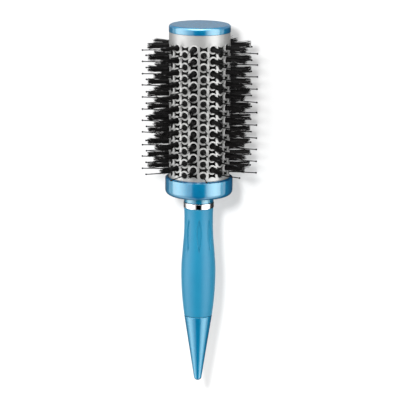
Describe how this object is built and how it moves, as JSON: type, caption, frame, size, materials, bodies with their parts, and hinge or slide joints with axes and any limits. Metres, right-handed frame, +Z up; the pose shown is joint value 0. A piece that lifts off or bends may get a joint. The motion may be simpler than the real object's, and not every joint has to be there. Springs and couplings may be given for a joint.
{
  "type": "round barrel brush",
  "caption": "Round hair-styling brush: vented metal barrel with boar tufts and ball-tipped pins, soft-touch handle and pointed sectioning tail.",
  "frame": {"origin": "under the middle of the brush's length, on the surface that its lowest pin tips rest on", "axes": "+X along the brush's axis towards the end cap, +Z up, +Y to the side; the brush lies on two rows of pins"},
  "size_m": [0.2584, 0.0826, 0.0788],
  "materials": {
    "blue_gloss": "glossy metallic blue lacquer",
    "barrel_silver": "satin silver",
    "boar_bristle": "black boar bristle bundles on a moulded bar",
    "nylon_pin": "black nylon, satin",
    "ring_chrome": "mirror chrome",
    "grip_soft_blue": "matte soft-touch blue",
    "core_black": "black moulded plastic",
    "bolt_steel": "plain steel",
    "insert_brass": "machined brass"
  },
  "bodies": {
    "root": {"end_cap": "blue_gloss", "barrel": "barrel_silver", "collar": "blue_gloss", "neck_ring": "ring_chrome", "grip": "grip_soft_blue", "tail_cone": "blue_gloss", "core_tube": "core_black", "strip_ring_front": "core_black", "strip_ring_rear": "core_black", "core_plug": "core_black", "handle_core": "core_black", "tie_bolt": "bolt_steel", "bolt_washer": "bolt_steel", "threaded_insert": "insert_brass", "boar_strip_01": "boar_bristle", "boar_strip_02": "boar_bristle", "boar_strip_03": "boar_bristle", "boar_strip_04": "boar_bristle", "boar_strip_05": "boar_bristle", "boar_strip_06": "boar_bristle", "boar_strip_07": "boar_bristle", "boar_strip_08": "boar_bristle", "boar_strip_09": "boar_bristle", "boar_strip_10": "boar_bristle", "pin_strip_01": "nylon_pin", "pin_strip_02": "nylon_pin", "pin_strip_03": "nylon_pin", "pin_strip_04": "nylon_pin", "pin_strip_05": "nylon_pin", "pin_strip_06": "nylon_pin", "pin_strip_07": "nylon_pin", "pin_strip_08": "nylon_pin", "pin_strip_09": "nylon_pin", "pin_strip_10": "nylon_pin"}
  },
  "joints": []
}
